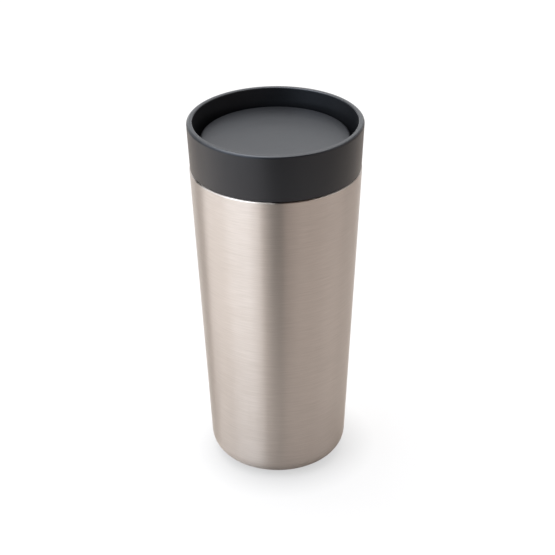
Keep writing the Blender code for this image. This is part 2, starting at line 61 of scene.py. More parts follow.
# The mug's own sizes, as in the CAD
HEIGHT = 0.1764
BASE_RADIUS = 0.0325  # the body's straight cone, carried on to the floor
TOP_RADIUS = 0.04092  # the same cone, carried on to the rim
TAPER = (TOP_RADIUS - BASE_RADIUS) / HEIGHT
GAP = 0.0003  # between neighbours that touch on the real mug

# Cup
SPLIT_Z = 0.1538  # top of the steel, where the collar starts
SHELL_WALL = 0.0006
LINER_WALL = 0.0005
SHELL_CORNER = 0.0100
SHELL_FOOT_Z = 0.0005  # the steel stands clear of the floor on its pad
FOOT_RADIUS = 0.0215  # inside of the upturned edge round the bottom opening
FOOT_EDGE_Z = 0.0038
PAD_THICKNESS = 0.0023
PAD_GROOVE_RADIUS = 0.0165  # middle of the round groove under the pad
PAD_GROOVE_HALF = 0.0005
PAD_GROOVE_DEPTH = 0.0004
LINER_FLOOR_Z = 0.0070
LINER_BASE_RADIUS = 0.0286
LINER_CORNER = 0.0110
SHOULDER_Z = 0.1375
SHOULDER_RADIUS = 0.0347
BORE_RADIUS = 0.0376  # the threaded mouth of the cup

# Thread: three starts, interrupted, right-handed
LEAD = 0.0120
STARTS = 3
RIDGE_ARC = math.radians(100)
RIDGE_ROOT_HALF = 0.00100
RIDGE_CREST_HALF = 0.00065
RIDGE_SUNK = 0.00025  # how far the ridge's root lies inside its wall
CUP_RIDGE_Z = 0.1475
CUP_CREST_RADIUS = 0.0365
LID_CREST_RADIUS = 0.03725
SKIRT_RADIUS = 0.0361

# Lid
COLLAR_INSET = 0.0003  # the collar stands this far inside the steel's line
COLLAR_WALL = 0.00275
COLLAR_BORE = 0.03735
SNAP_Z = 0.1560
SNAP_DEPTH = 0.00045
SNAP_HALF = 0.0007  # half the height of the snap bead and of its groove, where they start
SNAP_CREST_HALF = 0.0002
CORE_TOP_Z = 0.1576
SKIRT_WALL = 0.0015
SKIRT_END_Z = 0.1419
SPIGOT_RADIUS = 0.0336  # holds the neck seal
SPIGOT_END_Z = 0.1385
SPIGOT_WALL = 0.0012
SPIGOT_LIP = 0.0004
SEAL_RADIUS = 0.0362
WELL_EDGE_Z = 0.1448  # the drinking well falls from here to the seat
SEAT_RADIUS = 0.0262
SEAT_HALF = 0.0006
SEAT_Z = 0.1382

# Button and spring
DISC_RADIUS = 0.0345
DISC_Z = 0.1684
DISC_UNDERSIDE_Z = 0.1658
DISC_DISHED = 0.0005
DISC_SKIRT_WALL = 0.0013
DISC_SKIRT_Z = 0.1637
HOOD_RADIUS = 0.0116
HOOD_BORE = 0.0102
HOOD_Z = 0.1597
STEM_RADIUS = 0.0022
STEM_END_Z = 0.1290
STEM_TOP_Z = 0.1638
STEM_CLEARANCE = 0.0003
SPRING_RADIUS = 0.0067
WIRE_RADIUS = 0.0004
SPRING_TURNS = 4.5
SPRING_LOW_Z = 0.1387
SPRING_HIGH_Z = 0.1476
PLATE_BOSS_Z = 0.1318  # underside of the valve plate's boss
PLATE_BOSS_HEIGHT = 0.0030
PLATE_RADIUS = 0.0276
PLATE_EDGE_LOW_Z = 0.1352
PLATE_EDGE_HIGH_Z = 0.1366
NUT_RADIUS = 0.0062
NUT_LOW_Z = 0.1275
NUT_HIGH_Z = 0.1315
NUT_FLUTES = 8
NUT_FLUTE = 0.0004
NUT_EDGE = 0.00025

# How finely round things are cut
LARGE_STEPS = 192
SMALL_STEPS = 64
NUT_STEPS = 256
RIDGE_STEPS = 56
RIDGE_FADE_STEPS = 6
COIL_STEPS = 48  # to a turn
WIRE_SIDES = 12
FLOOR_SIDES = 96
ARC_TURN = math.radians(9)
SHARP_ANGLE = math.radians(32)

# Camera
AIM_Z = 0.0880  # middle of the mug's axis
CAMERA_DISTANCE = 0.792  # from there
CAMERA_ELEVATION = math.radians(29.5)
CAMERA_TILT_UP = math.radians(0.40)  # how far above the mug's middle it aims
CAMERA_ROLL = math.radians(-0.55)
CAMERA_ASIDE = 0.0003
LENS_MM = 107.0
SENSOR_MM = 36.0

# Floor. The camera sees it almost white with a faint shadow, partly real and partly painted, while the mug
# mirrors it as a light grey with painted light and shade round the mug.
FLOOR_RADIUS = 1.2
FLOOR_TINT = (1.09, 0.99, 0.91)
# painted shade: the floor's mirrored greys change from their close values to their far values between these
# distances
FLOOR_PAINTED_NEAR, FLOOR_PAINTED_FAR = 0.08, 0.30  # distances from the mug's axis
FLOOR_PAINTED_GREYS = {
    # painted light and shade: how light the floor is, close and far, as the mug mirrors it, in turns about
    # Z from -X towards -Y; the dark stretch in front and the darker greys close to the mug on the left are
    # painted shade
    0.000: (0.48, 0.70),
    0.190: (0.48, 0.70),
    0.235: (0.45, 0.19),
    0.275: (0.40, 0.16),
    0.340: (0.42, 0.36),
    0.850: (0.36, 0.36),
    0.930: (0.34, 0.42),
    0.970: (0.40, 0.70),
}
FLOOR_SEEN_GREY = (0.12, 0.12, 0.123)
FLOOR_GLOW = 0.82
# painted shadow: the floor's glow falls to this strength where something stands close by
FLOOR_GLOW_IN_PAINTED_SHADOW = 0.55  # where something stands close by
FLOOR_GLOW_TINT = (0.995, 0.997, 1.0)
# painted shadow: how far out the glow is dimmed round anything standing on the floor
PAINTED_SHADOW_REACH = 0.018

# Lights
STUDIO_RADIUS = 1.3
COOL = (0.90, 0.95, 1.0)
PLAIN = (1.0, 1.0, 1.0)
MILD = (1.0, 0.945, 0.88)
WARM = (1.0, 0.80, 0.70)
SOFTBOXES = {
    # azimuth from the camera's side towards the right and elevation, in degrees,
    # then width, height, brightness and colour
    "left_front": (-41, 11, 1.00, 0.65, 1.6, COOL),
    "left_side": (-84, 11, 1.05, 0.65, 1.25, COOL),
    "left_high": (-55, 40, 0.84, 0.70, 4.45, COOL),
    "left_back_high": (-100, 40, 0.95, 0.70, 2.2, PLAIN),
    "back_left": (-148, 11, 1.05, 0.65, 1.4, PLAIN),
    "back_right": (155, 11, 1.05, 0.65, 1.1, PLAIN),
    "back": (180, 27, 1.05, 1.35, 1.3, PLAIN),
    "front_low": (30, 11, 1.00, 0.65, 0.97, WARM),
    "right_front": (72, 11, 1.00, 0.65, 0.95, WARM),
    "right_side": (114, 11, 1.00, 0.65, 0.6, WARM),
    "right_high": (105, 40, 1.38, 0.70, 0.75, PLAIN),
    "top_back": (180, 72, 1.40, 0.70, 6.2, MILD),
    "top_left": (-90, 72, 1.40, 0.70, 4.7, PLAIN),
}


def cone_radius(z):
    """Radius of the mug's outer cone at a height."""
    return BASE_RADIUS + TAPER * z


# ---------------------------------------------------------------- shape tools


def rounded(corners):
    """An outline whose (radius, height, fillet) corners are arcs; a corner with no fillet stays sharp."""
    outline = []
    for index, corner in enumerate(corners):
        here = Vector(corner[:2])
        if len(corner) == 2:
            outline.append(tuple(here))
            continue
        fillet = corner[2]
        before = (Vector(corners[index - 1][:2]) - here).normalized()
        after = (Vector(corners[(index + 1) % len(corners)][:2]) - here).normalized()
        half = before.angle(after) / 2
        centre = here + (before + after).normalized() * (fillet / math.sin(half))
        spoke = here + before * (fillet / math.tan(half)) - centre
        turn = math.pi - 2 * half
        if before.x * after.y > before.y * after.x:
            turn = -turn
        steps = max(3, math.ceil(abs(turn) / ARC_TURN))
        for step in range(steps + 1):
            outline.append(tuple(centre + Matrix.Rotation(turn * step / steps, 2) @ spoke))
    return outline


def finish_mesh(bm, name):
    """Closes a bmesh off as a mesh with faces pointing out and smooth shading between gentle angles."""
    bmesh.ops.recalc_face_normals(bm, faces=bm.faces)
    mesh = bpy.data.meshes.new(name)
    bm.to_mesh(mesh)
    bm.free()
    mesh.shade_smooth()
    mesh.set_sharp_from_angle(angle=SHARP_ANGLE)
    return mesh


def add_object(name, mesh):
    obj = bpy.data.objects.new(name, mesh)
    bpy.context.scene.collection.objects.link(obj)
    return obj


def turned(name, outline, steps=LARGE_STEPS):
    """A solid turned about Z. An outline either starts and ends on the axis, or stays clear of it."""
    bm = bmesh.new()
    rings = []
    for radius, z in outline:
        turns = range(steps if radius > 0.0 else 1)
        angles = [math.tau * step / steps for step in turns]
        ring = [bm.verts.new((radius * math.cos(angle), radius * math.sin(angle), z)) for angle in angles]
        rings.append(ring if radius > 0.0 else ring * steps)
    pairs = list(zip(rings, rings[1:]))
    if outline[0][0] > 0.0:
        pairs.append((rings[-1], rings[0]))
    for here, following in pairs:
        for step in range(steps):
            corners = (here[step - 1], here[step], following[step], following[step - 1])
            bm.faces.new(tuple(dict.fromkeys(corners)))
    return add_object(name, finish_mesh(bm, name))


def ring_by_angle(name, steps, sides):
    """A ring whose inner radius, outer radius, lower and upper height each follow the angle."""
    bm = bmesh.new()
    loops = []
    for step in range(steps):
        angle = math.tau * step / steps
        inner, outer, low, high = sides(angle)
        loops.append(
            [
                bm.verts.new((radius * math.cos(angle), radius * math.sin(angle), z))
                for radius, z in ((inner, low), (outer, low), (outer, high), (inner, high))
            ]
        )
    for here, following in zip(loops, loops[1:] + loops[:1]):
        for side in range(4):
            bm.faces.new((here[side], here[side - 1], following[side - 1], following[side]))
    return add_object(name, finish_mesh(bm, name))


def join(obj, helper):
    """Adds a helper object to obj by a Boolean, and removes the helper."""
    modifier = obj.modifiers.new(helper.name, "BOOLEAN")
    modifier.operation = "UNION"
    modifier.solver = "EXACT"
    modifier.object = helper
    graph = bpy.context.evaluated_depsgraph_get()
    mesh = bpy.data.meshes.new_from_object(obj.evaluated_get(graph))
    obj.modifiers.clear()
    obj.data = mesh
    bpy.data.objects.remove(helper)
    mesh.shade_smooth()
    mesh.set_sharp_from_angle(angle=SHARP_ANGLE)


def thread_ridge(name, start, wall_radius, crest_radius, middle_z):
    """One start of the thread: a trapezoid swept up a helix, which rises from its wall and fades back."""
    sunk = math.copysign(RIDGE_SUNK, crest_radius - wall_radius)
    foot = wall_radius - sunk / 2
    bm = bmesh.new()
    sections = []
    for step in range(RIDGE_STEPS + 1):
        turn = RIDGE_ARC * step / RIDGE_STEPS
        angle = start + turn
        z = middle_z + LEAD * turn / math.tau
        from_end = min(step, RIDGE_STEPS - step, RIDGE_FADE_STEPS)
        crest = foot + (crest_radius - foot) * math.sin(from_end / RIDGE_FADE_STEPS * math.pi / 2)
        corners = (
            (wall_radius - sunk, z - RIDGE_ROOT_HALF),
            (crest, z - RIDGE_CREST_HALF),
            (crest, z + RIDGE_CREST_HALF),
            (wall_radius - sunk, z + RIDGE_ROOT_HALF),
        )
        sections.append(
            [bm.verts.new((r * math.cos(angle), r * math.sin(angle), h)) for r, h in corners]
        )
    for here, following in zip(sections, sections[1:]):
        for side in range(4):
            bm.faces.new((here[side - 1], here[side], following[side], following[side - 1]))
    bm.faces.new(sections[0])
    bm.faces.new(reversed(sections[-1]))
    return add_object(name, finish_mesh(bm, name))


def add_thread(obj, wall_radius, crest_radius, middle_z):
    for start in range(STARTS):
        angle = math.tau * start / STARTS
        join(obj, thread_ridge(f"{obj.name}_ridge", angle, wall_radius, crest_radius, middle_z))


# ---------------------------------------------------------------- material tools


NOISE_LOW, NOISE_HIGH = 0.3, 0.7  # the middle of a noise texture's range, where nearly all of it lies
COLOUR_A, COLOUR_B, COLOUR_RESULT = 6, 7, 2  # a Mix node's colour sockets


class Nodes:
    """Builds one material's node tree around its Principled shader."""

    def __init__(self, name):
        self.material = bpy.data.materials.new(name)
        self.material.use_nodes = True
        self.tree = self.material.node_tree
        self.shader = self.tree.nodes["Principled BSDF"]
        self.place = self.add("ShaderNodeTexCoord").outputs["Object"]

    def add(self, kind, **settings):
        made = self.tree.nodes.new(kind)
        for key, value in settings.items():
            setattr(made, key, value)
        return made

    def link(self, source, target):
        self.tree.links.new(source, target)

    def set(self, **values):
        """Sets the shader's own sockets to values that are the same all over."""
        for key, value in values.items():
            self.shader.inputs[key.replace("_", " ")].default_value = value

    def noise(self, scale, detail=2.0, roughness=0.5):
        """Noise at a scale in cycles per metre, which may differ along X, Y and Z."""
        spread = self.add("ShaderNodeMapping")
        spread.inputs["Scale"].default_value = scale if isinstance(scale, tuple) else (scale,) * 3
        self.link(self.place, spread.inputs["Vector"])
        texture = self.add("ShaderNodeTexNoise")
        texture.inputs["Scale"].default_value = 1.0
        texture.inputs["Detail"].default_value = detail
        texture.inputs["Roughness"].default_value = roughness
        self.link(spread.outputs["Vector"], texture.inputs["Vector"])
        return texture.outputs["Fac"]

    def cells(self, scale):
        """Voronoi cells, as distance from the nearest centre."""
        texture = self.add("ShaderNodeTexVoronoi")
        texture.inputs["Scale"].default_value = scale
        self.link(self.place, texture.inputs["Vector"])
        return texture.outputs["Distance"]

    def mixed(self, first, second, share):
        """Two heights blended, with share of the second."""
        mix = self.add("ShaderNodeMix", data_type="FLOAT")
        mix.inputs["Factor"].default_value = share
        self.link(first, mix.inputs["A"])
        self.link(second, mix.inputs["B"])
        return mix.outputs["Result"]

    def spread(self, source, low, high, socket):
        """Drives a shader socket between two values, across the middle of the source's range."""
        fit = self.add("ShaderNodeMapRange")
        fit.inputs["From Min"].default_value = NOISE_LOW
        fit.inputs["From Max"].default_value = NOISE_HIGH
        fit.inputs["To Min"].default_value = low
        fit.inputs["To Max"].default_value = high
        self.link(source, fit.inputs["Value"])
        self.link(fit.outputs["Result"], self.shader.inputs[socket])

    def tint(self, source, first, second):
        """Runs the base colour between two colours."""
        ramp = self.add("ShaderNodeValToRGB")
        ramp.color_ramp.elements[0].position = NOISE_LOW
        ramp.color_ramp.elements[0].color = (*first, 1.0)
        ramp.color_ramp.elements[1].position = NOISE_HIGH
        ramp.color_ramp.elements[1].color = (*second, 1.0)
        self.link(source, ramp.inputs["Fac"])
        self.link(ramp.outputs["Color"], self.shader.inputs["Base Color"])

    def bump(self, source, strength, depth):
        relief = self.add("ShaderNodeBump")
        relief.inputs["Strength"].default_value = strength
        relief.inputs["Distance"].default_value = depth
        self.link(source, relief.inputs["Height"])
        self.link(relief.outputs["Normal"], self.shader.inputs["Normal"])


# ---------------------------------------------------------------- materials


def brushed_steel():
    """Stainless steel brushed round the body: fine scratches, and highlights drawn out up and down."""
    look = Nodes("brushed_steel_look")
    hair = look.noise((18.0, 18.0, 4200.0), detail=3.0, roughness=0.7)
    streak = look.noise((110.0, 110.0, 2000.0), detail=2.0)
    cloud = look.noise(22.0, detail=3.0)
    grain = look.mixed(hair, streak, 0.55)
    look.set(Metallic=1.0, Anisotropic=1.0, Anisotropic_Rotation=0.25)
    look.tint(look.mixed(grain, cloud, 0.2), (0.456, 0.432, 0.417), (0.580, 0.550, 0.533))
    look.spread(grain, 0.28, 0.38, "Roughness")
    look.bump(grain, 0.25, 0.00004)
    tangent = look.add("ShaderNodeTangent", direction_type="RADIAL", axis="Z")
    look.link(tangent.outputs["Tangent"], look.shader.inputs["Tangent"])
    return look.material


def bright_steel():
    """Electropolished steel, with the faint rings that spinning leaves."""
    look = Nodes("bright_steel_look")
    rings = look.noise((5.0, 5.0, 900.0), detail=2.0)
    cloud = look.noise(90.0, detail=3.0)
    both = look.mixed(rings, cloud, 0.5)
    look.set(Metallic=1.0)
    look.tint(both, (0.58, 0.56, 0.54), (0.66, 0.64, 0.62))
    look.spread(both, 0.16, 0.27, "Roughness")
    look.bump(both, 0.15, 0.00006)
    return look.material


def moulded_plastic(name, dark, light, smooth, rough):
    """Moulded plastic with a fine spark-eroded texture."""
    look = Nodes(name)
    grain = look.noise(5200.0, detail=2.0, roughness=0.6)
    cloud = look.noise(60.0, detail=4.0)
    look.set(Metallic=0.0, IOR=1.5, Specular_Tint=(0.80, 0.87, 1.0, 1.0))
    look.tint(look.mixed(cloud, grain, 0.4), dark, light)
    look.spread(look.mixed(cloud, grain, 0.6), smooth, rough, "Roughness")
    look.bump(grain, 0.22, 0.00005)
    return look.material


def silicone():
    """Soft silicone rubber, with a powdery surface."""
    look = Nodes("silicone_look")
    grain = look.noise(3000.0, detail=3.0)
    dust = look.noise(140.0, detail=4.0)
    look.set(Metallic=0.0, IOR=1.41)
    look.tint(dust, (0.140, 0.145, 0.150), (0.185, 0.190, 0.195))
    look.spread(dust, 0.55, 0.72, "Roughness")
    look.bump(grain, 0.3, 0.00006)
    return look.material


def copper_foil():
    """Thin copper foil, crinkled where it's wrapped."""
    look = Nodes("copper_foil_look")
    creases = look.mixed(look.cells(90.0), look.noise(240.0, detail=4.0), 0.5)
    look.set(Metallic=1.0)
    look.tint(creases, (0.66, 0.34, 0.23), (0.80, 0.46, 0.33))
    look.spread(creases, 0.18, 0.34, "Roughness")
    look.bump(creases, 0.5, 0.0004)
    return look.material


def getter_alloy():
    """Pressed and sintered metal powder."""
    look = Nodes("getter_alloy_look")
    powder = look.mixed(look.cells(2600.0), look.noise(5000.0, detail=3.0), 0.4)
    look.set(Metallic=1.0)
    look.tint(powder, (0.13, 0.12, 0.115), (0.27, 0.255, 0.24))
    look.spread(powder, 0.60, 0.80, "Roughness")
    look.bump(powder, 0.6, 0.00015)
    return look.material


def solder_glass():
    """Dark glass that has flowed and set."""
    look = Nodes("solder_glass_look")
    flow = look.noise(700.0, detail=3.0)
    look.set(Metallic=0.0, IOR=1.6)
    look.tint(flow, (0.07, 0.10, 0.09), (0.13, 0.16, 0.15))
    look.spread(flow, 0.08, 0.20, "Roughness")
    look.bump(flow, 0.3, 0.0002)
    return look.material


def make_looks():
    """One material for each of the record's slots."""
    return {
        "brushed_steel": brushed_steel(),
        "bright_steel": bright_steel(),
        "grey_plastic": moulded_plastic(
            "grey_plastic_look", (0.0045, 0.0050, 0.0062), (0.0065, 0.0072, 0.0088), 0.33, 0.40
        ),
        "black_plastic": moulded_plastic(
            "black_plastic_look", (0.017, 0.018, 0.020), (0.025, 0.026, 0.028), 0.38, 0.50
        ),
        "white_acetal": moulded_plastic(
            "white_acetal_look", (0.72, 0.71, 0.68), (0.80, 0.79, 0.76), 0.32, 0.44
        ),
        "silicone": silicone(),
        "copper_foil": copper_foil(),
        "getter_alloy": getter_alloy(),
        "solder_glass": solder_glass(),
    }


# ---------------------------------------------------------------- cup


def outer_shell():
    """The brushed outer wall, turned in at the lip and turned up round the opening in its bottom."""
    lip_radius = cone_radius(SPLIT_Z)
    inner_foot_z = SHELL_FOOT_Z + SHELL_WALL
    outline = rounded(
        [
            (FOOT_RADIUS, FOOT_EDGE_Z),
            (FOOT_RADIUS, SHELL_FOOT_Z, 0.0010),
            (cone_radius(SHELL_FOOT_Z), SHELL_FOOT_Z, SHELL_CORNER),
            (lip_radius, SPLIT_Z, 0.0007),
            (BORE_RADIUS, SPLIT_Z, 0.0002),
            (BORE_RADIUS, SPLIT_Z - SHELL_WALL, 0.0002),
            (lip_radius - SHELL_WALL, SPLIT_Z - SHELL_WALL),
            (cone_radius(inner_foot_z) - SHELL_WALL, inner_foot_z, SHELL_CORNER - SHELL_WALL),
            (FOOT_RADIUS + SHELL_WALL, inner_foot_z),
            (FOOT_RADIUS + SHELL_WALL, FOOT_EDGE_Z),
        ]
    )
    return turned("shell_skin", outline)


def inner_liner():
    """The inner wall, with a shoulder for the neck seal and the thread in its mouth."""
    rise = BORE_RADIUS - SHOULDER_RADIUS
    top_z = SPLIT_Z - SHELL_WALL - GAP
    wall = LINER_WALL
    knee = wall * math.tan(math.pi / 8)
    outline = rounded(
        [
            (0.0, LINER_FLOOR_Z),
            (LINER_BASE_RADIUS, LINER_FLOOR_Z, LINER_CORNER),
            (SHOULDER_RADIUS, SHOULDER_Z, 0.0010),
            (BORE_RADIUS, SHOULDER_Z + rise, 0.0010),
            (BORE_RADIUS, top_z),
            (BORE_RADIUS + wall, top_z),
            (BORE_RADIUS + wall, SHOULDER_Z + rise - knee),
            (SHOULDER_RADIUS + wall, SHOULDER_Z - knee),
            (LINER_BASE_RADIUS + wall, LINER_FLOOR_Z - wall, LINER_CORNER + wall),
            (0.0, LINER_FLOOR_Z - wall),
        ]
    )
    liner = turned("liner_wall", outline)
    add_thread(liner, BORE_RADIUS, CUP_CREST_RADIUS, CUP_RIDGE_Z)
    return liner


def foot_pad():
    """The pad, with a round groove in the face that it stands on."""
    radius = FOOT_RADIUS - 2 * GAP
    groove_in = PAD_GROOVE_RADIUS - PAD_GROOVE_HALF
    groove_out = PAD_GROOVE_RADIUS + PAD_GROOVE_HALF
    outline = rounded(
        [
            (0.0, 0.0),
            (groove_in - 0.0005, 0.0),
            (groove_in, PAD_GROOVE_DEPTH, 0.0002),
            (groove_out, PAD_GROOVE_DEPTH, 0.0002),
            (groove_out + 0.0005, 0.0),
            (radius, 0.0, 0.0005),
            (radius, PAD_THICKNESS, 0.0003),
            (0.0, PAD_THICKNESS),
        ]
    )
    return turned("foot_pad_skin", outline)


# ---------------------------------------------------------------- lid


def neck_seal():
    """The ring under the skirt that meets the liner's shoulder."""
    bore = SPIGOT_RADIUS + GAP
    low = SPIGOT_END_Z + 0.0008
    high = SKIRT_END_Z - GAP
    outline = rounded(
        [
            (bore, low),
            (bore + 0.0010, low - 0.0007, 0.0003),
            (bore + 0.0016, low - 0.0006, 0.0003),
            (SEAL_RADIUS, low + 0.0001, 0.0003),
            (SEAL_RADIUS, low + 0.0008, 0.0003),
            (SEAL_RADIUS - 0.0006, high),
            (bore, high),
        ]
    )
    return turned("neck_seal_skin", outline)


def collar():
    """The drinking rim and outer wall of the lid, which sits on the steel lip."""
    low = SPLIT_Z + GAP
    outer_low = cone_radius(low) - COLLAR_INSET
    outer_top = cone_radius(HEIGHT) - COLLAR_INSET
    groove = COLLAR_BORE + SNAP_DEPTH
    groove_half = SNAP_CREST_HALF + 0.0001
    outline = rounded(
        [
            (COLLAR_BORE, low),
            (outer_low, low, 0.0003),
            (outer_top, HEIGHT, 0.0012),
            (outer_top - COLLAR_WALL, HEIGHT, 0.0006),
            (COLLAR_BORE, CORE_TOP_Z + 2 * GAP),
            (COLLAR_BORE, SNAP_Z + SNAP_HALF),
            (groove, SNAP_Z + groove_half),
            (groove, SNAP_Z - groove_half),
            (COLLAR_BORE, SNAP_Z - SNAP_HALF),
        ]
    )
    return turned("collar_skin", outline)


def lid_core():
    """The core: flange and snap bead, threaded skirt, seal spigot, drinking well and valve seat."""
    flange = COLLAR_BORE - GAP
    bead = flange + SNAP_DEPTH
    inner = SKIRT_RADIUS - SKIRT_WALL
    lip = SPIGOT_RADIUS + SPIGOT_LIP
    spigot_bore = SPIGOT_RADIUS - SPIGOT_WALL
    seat_in = SEAT_RADIUS - SEAT_HALF
    seat_out = SEAT_RADIUS + SEAT_HALF
    outline = rounded(
        [
            (flange, CORE_TOP_Z, 0.0003),
            (flange, SNAP_Z + SNAP_HALF),
            (bead, SNAP_Z + SNAP_CREST_HALF),
            (bead, SNAP_Z - SNAP_CREST_HALF),
            (flange, SNAP_Z - SNAP_HALF),
            (flange, SPLIT_Z + GAP),
            (SKIRT_RADIUS, SPLIT_Z - 0.0004),
            (SKIRT_RADIUS, SKIRT_END_Z, 0.0003),
            (SPIGOT_RADIUS, SKIRT_END_Z),
            (SPIGOT_RADIUS, SPIGOT_END_Z + 0.0006),
            (lip, SPIGOT_END_Z + 0.0004),
            (lip, SPIGOT_END_Z),
            (spigot_bore, SPIGOT_END_Z),
            (spigot_bore, WELL_EDGE_Z - 0.0034, 0.0006),
            (seat_out + 0.0004, SEAT_Z + 0.0014, 0.0004),
            (seat_out, SEAT_Z, 0.0003),
            (seat_in, SEAT_Z, 0.0003),
            (seat_in, WELL_EDGE_Z - 0.0039, 0.0003),
            (0.0330, WELL_EDGE_Z - 0.0017, 0.0020),
            (inner, WELL_EDGE_Z, 0.0015),
            (inner, CORE_TOP_Z - 0.0048),
            (inner + 0.0016, CORE_TOP_Z, 0.0003),
        ]
    )
    core = turned("lid_core_skin", outline)
    add_thread(core, SKIRT_RADIUS, LID_CREST_RADIUS, CUP_RIDGE_Z - LEAD / STARTS / 2)
    return core


def return_spring():
    """The coil as a fine tube."""
    count = round(COIL_STEPS * SPRING_TURNS) + 1
    bm = bmesh.new()
    rings = []
    for index in range(count):
        share = index / (count - 1)
        angle = math.tau * SPRING_TURNS * share
        out = Vector((math.cos(angle), math.sin(angle), 0.0))
        z = SPRING_LOW_Z + (SPRING_HIGH_Z - SPRING_LOW_Z) * share
        middle = out * SPRING_RADIUS + Vector((0.0, 0.0, z))
        ring = []
        for side in range(WIRE_SIDES):
            around = math.tau * side / WIRE_SIDES
            across = out * (WIRE_RADIUS * math.cos(around))
            up = Vector((0.0, 0.0, WIRE_RADIUS * math.sin(around)))
            ring.append(bm.verts.new(middle + across + up))
        rings.append(ring)
    for here, following in zip(rings, rings[1:]):
        for side in range(WIRE_SIDES):
            bm.faces.new((here[side - 1], here[side], following[side], following[side - 1]))
    bm.faces.new(rings[0])
    bm.faces.new(reversed(rings[-1]))
    return add_object("return_spring_coil", finish_mesh(bm, "return_spring_coil"))


# ---------------------------------------------------------------- button


def press_disc():
    """The round button, slightly dished, with a skirt and a hood that covers the click mechanism."""
    skirt = DISC_RADIUS - 0.0003
    skirt_bore = skirt - DISC_SKIRT_WALL
    outline = rounded(
        [
            (0.0, DISC_Z - DISC_DISHED),
            (0.0180, DISC_Z - DISC_DISHED + 0.0001, 0.1500),
            (0.0300, DISC_Z, 0.0400),
            (DISC_RADIUS, DISC_Z, 0.0011),
            (skirt, DISC_SKIRT_Z, 0.0003),
            (skirt_bore, DISC_SKIRT_Z, 0.0003),
            (skirt_bore, DISC_UNDERSIDE_Z),
            (HOOD_RADIUS, DISC_UNDERSIDE_Z),
            (HOOD_RADIUS - 0.0001, HOOD_Z, 0.0003),
            (HOOD_BORE, HOOD_Z, 0.0003),
            (HOOD_BORE, DISC_UNDERSIDE_Z),
            (0.0, DISC_UNDERSIDE_Z),
        ]
    )
    return turned("press_disc_skin", outline)


def stem():
    """The rod from the plunger through the tube's floor to the valve."""
    outline = rounded(
        [
            (0.0, STEM_END_Z),
            (STEM_RADIUS, STEM_END_Z, 0.0003),
            (STEM_RADIUS, STEM_TOP_Z, 0.0003),
            (0.0, STEM_TOP_Z),
        ]
    )
    return turned("stem_rod", outline, SMALL_STEPS)


def valve_plate():
    """The dished plate that carries the valve gasket."""
    bore = STEM_RADIUS + STEM_CLEARANCE
    boss_top_z = PLATE_BOSS_Z + PLATE_BOSS_HEIGHT
    outline = rounded(
        [
            (bore, PLATE_BOSS_Z),
            (NUT_RADIUS, PLATE_BOSS_Z, 0.0003),
            (0.0075, PLATE_BOSS_Z + 0.0014, 0.0008),
            (0.0220, PLATE_EDGE_LOW_Z - 0.0012, 0.0010),
            (0.0245, PLATE_EDGE_LOW_Z, 0.0010),
            (PLATE_RADIUS, PLATE_EDGE_LOW_Z),
            (PLATE_RADIUS, PLATE_EDGE_HIGH_Z),
            (0.0236, PLATE_EDGE_HIGH_Z, 0.0006),
            (0.0215, PLATE_EDGE_HIGH_Z - 0.0012, 0.0010),
            (0.0075, boss_top_z),
            (bore, boss_top_z),
        ]
    )
    return turned("valve_plate_skin", outline)


def valve_gasket():
    """The channel of silicone round the plate's edge that shuts against the seat."""
    inside = 0.0244
    groove = PLATE_RADIUS + GAP
    outside = groove + 0.0009
    low = PLATE_EDGE_LOW_Z - 0.0011
    outline = rounded(
        [
            (inside, SEAT_Z - GAP),
            (inside, PLATE_EDGE_HIGH_Z + GAP),
            (groove, PLATE_EDGE_HIGH_Z + GAP),
            (groove, PLATE_EDGE_LOW_Z - GAP),
            (0.0262, PLATE_EDGE_LOW_Z - GAP),
            (0.0262, low, 0.0002),
            (outside, low, 0.0005),
            (outside, SEAT_Z - 2 * GAP, 0.0002),
            (outside - 0.0004, SEAT_Z - GAP, 0.0002),
        ]
    )
    return turned("valve_gasket_skin", outline)


def valve_nut():
    """The fluted nut under the valve, closed at its lower end."""
    bore = STEM_RADIUS + STEM_CLEARANCE
    end_radius, end_low, end_high = 0.0040, NUT_LOW_Z + 0.0002, STEM_END_Z - GAP

    def sides(angle):
        return bore, NUT_RADIUS + NUT_FLUTE * math.cos(NUT_FLUTES * angle), NUT_LOW_Z, NUT_HIGH_Z

    nut = ring_by_angle("valve_nut_skin", NUT_STEPS, sides)
    end = [(0.0, end_low), (end_radius, end_low), (end_radius, end_high), (0.0, end_high)]
    join(nut, turned("valve_nut_end", end, SMALL_STEPS))
    bevel = nut.modifiers.new("edges", "BEVEL")
    bevel.width = NUT_EDGE
    bevel.segments = 3
    bevel.limit_method = "ANGLE"
    bevel.angle_limit = math.radians(60)
    return nut


# ---------------------------------------------------------------- stage


def painted_floor_shades(look):
    """Paints light and shade on the floor as the mug mirrors it: greys that differ round the mug, and from
    close to it out to far from it.
    """
    around = look.add("ShaderNodeTexGradient", gradient_type="RADIAL")
    away = look.add("ShaderNodeVectorMath", operation="LENGTH")
    far = look.add("ShaderNodeMapRange")
    far.inputs["From Min"].default_value = FLOOR_PAINTED_NEAR
    far.inputs["From Max"].default_value = FLOOR_PAINTED_FAR
    painted_shade_blend = look.add("ShaderNodeMix", data_type="RGBA")
    look.link(look.place, around.inputs["Vector"])
    look.link(look.place, away.inputs[0])
    look.link(away.outputs["Value"], far.inputs["Value"])
    look.link(far.outputs["Result"], painted_shade_blend.inputs["Factor"])
    # painted light and shade: one ramp of greys round the mug for close to it, one for far from it
    for side, socket in enumerate((COLOUR_A, COLOUR_B)):
        painted_greys = look.add("ShaderNodeValToRGB")
        stops = painted_greys.color_ramp.elements
        stops.remove(stops[1])
        for place, pair in FLOOR_PAINTED_GREYS.items():
            stop = stops[0] if place == 0.0 else stops.new(place)
            stop.color = (*(pair[side] * share for share in FLOOR_TINT), 1.0)
        look.link(around.outputs["Fac"], painted_greys.inputs["Fac"])
        look.link(painted_greys.outputs["Color"], painted_shade_blend.inputs[socket])
    look.link(painted_shade_blend.outputs[COLOUR_RESULT], look.shader.inputs["Base Color"])


